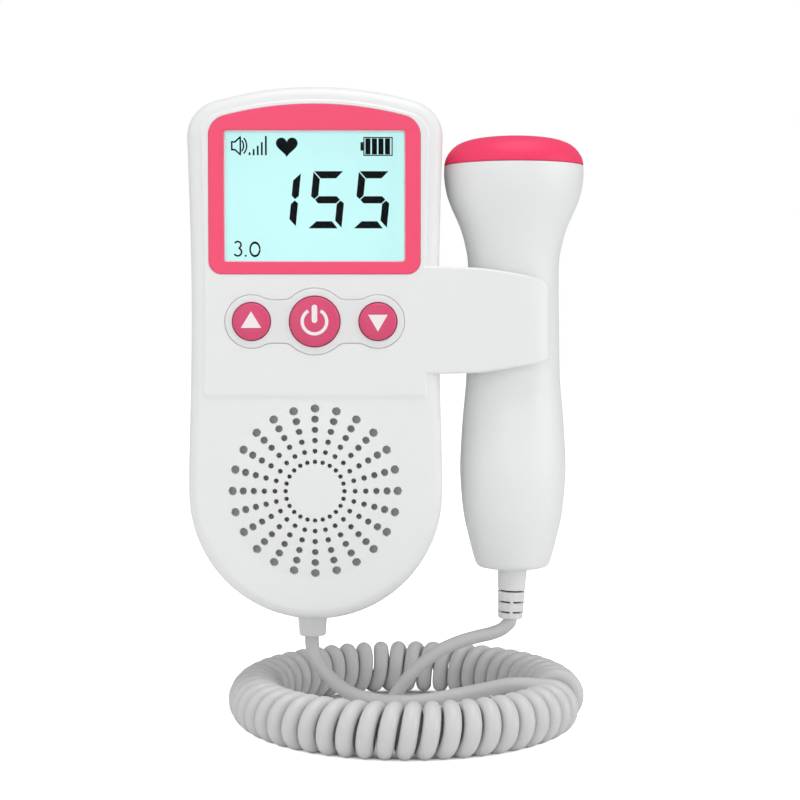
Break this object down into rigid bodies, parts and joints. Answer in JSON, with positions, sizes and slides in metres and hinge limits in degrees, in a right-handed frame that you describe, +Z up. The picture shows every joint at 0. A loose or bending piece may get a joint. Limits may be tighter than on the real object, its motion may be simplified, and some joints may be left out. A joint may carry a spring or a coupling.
{
  "type": "fetal doppler monitor",
  "caption": "Hand-held fetal doppler monitor: display unit with keys, speaker grille and side clip, and a round-headed probe on a curly cord.",
  "frame": {"origin": "middle of the flat rest face on the back of the main unit, above the battery door", "axes": "+Z up the unit, its front with display and keys faces -Y, +X towards the probe"},
  "size_m": [0.0996, 0.0912, 0.1606],
  "materials": {
    "white_shell": "satin moulded ABS, white",
    "surround_white": "satin moulded ABS, pale grey white",
    "bezel_pink": "smooth moulded plastic, pink",
    "key_pink": "smooth moulded plastic, pink",
    "cap_pink": "glossy moulded plastic, pink",
    "clear_window": "clear acrylic",
    "lcd_pane": "liquid crystal display glass, lit from behind",
    "backlight": "milky light guide",
    "circuit_board": "green solder mask",
    "screw_steel": "plated steel",
    "contact_metal": "nickel plated spring steel",
    "switch_black": "moulded switch plastic",
    "cloth_grey": "fine woven dust cloth",
    "speaker_steel": "pressed steel",
    "cone_black": "treated paper cone",
    "cell_wrap": "plain wrapped AA cell",
    "cord_grey": "soft PVC jacket, light grey",
    "transducer_gold": "silvered piezo ceramic",
    "backing_rubber": "filled damping resin"
  },
  "bodies": {
    "main_unit": {"front_shell": "white_shell", "rear_shell": "white_shell", "display_bezel": "bezel_pink", "display_window": "clear_window", "lcd_glass": "lcd_pane", "lcd_backlight": "backlight", "main_board": "circuit_board", "board_screws": "screw_steel", "button_surround": "surround_white", "key_switches": "switch_black", "grille_cloth": "cloth_grey", "speaker_frame": "speaker_steel", "speaker_cone": "cone_black", "speaker_magnet": "speaker_steel", "aa_cell_left": "cell_wrap", "aa_cell_right": "cell_wrap", "battery_contacts": "contact_metal", "battery_springs": "contact_metal", "shell_screws": "screw_steel", "cord_gland": "cord_grey", "cord_body_tail": "cord_grey", "cord_curls": "cord_grey", "cord_probe_tail": "cord_grey"},
    "key_up": {"button_up": "key_pink", "plunger_up": "switch_black"},
    "key_power": {"button_power": "key_pink", "plunger_power": "switch_black"},
    "key_down": {"button_down": "key_pink", "plunger_down": "switch_black"},
    "door": {"battery_door": "white_shell"},
    "probe": {"probe_shell_front": "white_shell", "probe_shell_rear": "white_shell", "probe_cap": "cap_pink", "transducer_left": "transducer_gold", "transducer_right": "transducer_gold", "acoustic_backing": "backing_rubber", "probe_board": "circuit_board", "probe_strain_relief": "cord_grey"}
  },
  "joints": [
    {"name": "key_up_press", "type": "slide", "parent": "main_unit", "child": "key_up", "axis": [0, 1, 0], "range_m": [0, 0.0008], "stiffness_N_per_m": 1200, "springref_m": -0.0004},
    {"name": "key_power_press", "type": "slide", "parent": "main_unit", "child": "key_power", "axis": [0, 1, 0], "range_m": [0, 0.0008], "stiffness_N_per_m": 1200, "springref_m": -0.0004},
    {"name": "key_down_press", "type": "slide", "parent": "main_unit", "child": "key_down", "axis": [0, 1, 0], "range_m": [0, 0.0008], "stiffness_N_per_m": 1200, "springref_m": -0.0004},
    {"name": "door_hinge", "type": "hinge", "parent": "main_unit", "child": "door", "pos_m": [0, -0.0011, -0.0274], "axis": [1, 0, 0], "range_deg": [0, 90]},
    {"name": "probe_release", "type": "slide", "parent": "main_unit", "child": "probe", "axis": [1, 0, 0], "range_m": [0, 0.04]}
  ]
}
